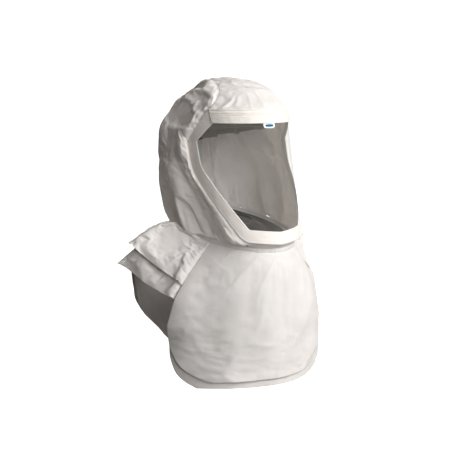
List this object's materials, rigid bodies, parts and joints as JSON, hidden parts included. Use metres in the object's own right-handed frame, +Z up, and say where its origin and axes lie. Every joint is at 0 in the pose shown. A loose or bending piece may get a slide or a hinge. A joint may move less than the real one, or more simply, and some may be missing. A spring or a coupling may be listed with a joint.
{
  "type": "powered air respirator hood",
  "caption": "Loose-fitting respirator hood with a wide clear visor, double shoulder cape, ratchet head harness, over-crown air duct and a swivelling hose socket.",
  "frame": {"origin": "middle of the wearer's head at the height of the headband, where the head harness seats", "axes": "+Z up; the wearer looks along -Y; +X is the wearer's left"},
  "size_m": [0.486, 0.3865, 0.6266],
  "materials": {
    "hood_fabric": "soft non-woven",
    "visor_film": "clear flexible film",
    "border_fabric": "stitched woven binding",
    "tab_print": "white tab with a plain blue patch",
    "elastic": "gathered elastic",
    "neck_knit": "stretch knit",
    "sweat_foam": "brushed foam laminate",
    "pad_foam": "foam laminate",
    "harness_plastic": "fine texture",
    "strap_plastic": "satin",
    "ratchet_plastic": "fine texture",
    "knob_plastic": "ribbed grip",
    "steel": "zinc plated",
    "stud_plastic": "moulded",
    "port_plastic": "moulded",
    "seal_rubber": "soft",
    "collar_plastic": "moulded, ribbed",
    "button_plastic": "moulded",
    "duct_plastic": "thin flexible moulding",
    "grille_plastic": "moulded"
  },
  "bodies": {
    "hood": {"air_duct": "duct_plastic", "air_duct_foot": "duct_plastic", "air_outlet_grille": "grille_plastic", "bib_back_inner": "hood_fabric", "bib_back_outer": "hood_fabric", "bib_front_inner": "hood_fabric", "bib_front_outer": "hood_fabric", "brow_band": "border_fabric", "brow_snaps": "stud_plastic", "chin_panel": "hood_fabric", "crown_gusset": "hood_fabric", "crown_strap_cross": "harness_plastic", "crown_strap_long": "harness_plastic", "crown_strap_studs": "stud_plastic", "headband_front": "harness_plastic", "inlet_gasket": "seal_rubber", "inlet_o_ring": "seal_rubber", "inlet_port": "port_plastic", "inlet_ring_nut": "port_plastic", "maker_tab": "tab_print", "nape_pad": "pad_foam", "neck_gather_band": "elastic", "neck_seal": "neck_knit", "ratchet_case_screws": "steel", "ratchet_cover": "ratchet_plastic", "ratchet_housing": "ratchet_plastic", "side_panel_left": "hood_fabric", "side_panel_right": "hood_fabric", "strap_keepers": "harness_plastic", "sweatband": "sweat_foam", "swivel_collar_clip": "steel", "visor_arm_left": "harness_plastic", "visor_arm_right": "harness_plastic", "visor_border_lower": "border_fabric", "visor_border_upper_left": "border_fabric", "visor_border_upper_right": "border_fabric", "visor_lens": "visor_film"},
    "knob": {"ratchet_knob": "knob_plastic", "ratchet_pinion": "ratchet_plastic", "ratchet_click_spring": "steel", "ratchet_knob_screw": "steel"},
    "strap_right": {"rack_strap_right": "strap_plastic"},
    "strap_left": {"rack_strap_left": "strap_plastic"},
    "hose_collar": {"hose_swivel_collar": "collar_plastic", "release_button_spring": "steel"},
    "button": {"hose_release_button": "button_plastic"}
  },
  "joints": [
    {"name": "knob_turn", "type": "hinge", "parent": "hood", "child": "knob", "pos_m": [0, 0, 0], "axis": [0, 0.9848, -0.1736], "range_deg": [-200, 200]},
    {"name": "right_strap_run", "type": "hinge", "parent": "hood", "child": "strap_right", "pos_m": [0, 0.01182, -0.00208], "axis": [0, 0.1736, 0.9848], "range_deg": [-11.6, 11.6]},
    {"name": "left_strap_run", "type": "hinge", "parent": "hood", "child": "strap_left", "pos_m": [0, 0.01182, -0.00208], "axis": [0, 0.1736, 0.9848], "range_deg": [-11.39, 11.39]},
    {"name": "hose_swivel", "type": "hinge", "parent": "hood", "child": "hose_collar", "pos_m": [0, 0.17, -0.062], "axis": [0, 1, 0], "continuous": true},
    {"name": "release_press", "type": "slide", "parent": "hose_collar", "child": "button", "axis": [0, 0, -1], "range_m": [0, 0.0022], "stiffness_N_per_m": 400, "springref_m": -0.001, "deforming": ["release_button_spring"]}
  ],
  "couplings": [
    {"joint": "right_strap_run", "follows": "knob_turn", "ratio": -0.057737},
    {"joint": "left_strap_run", "follows": "knob_turn", "ratio": 0.056689}
  ]
}
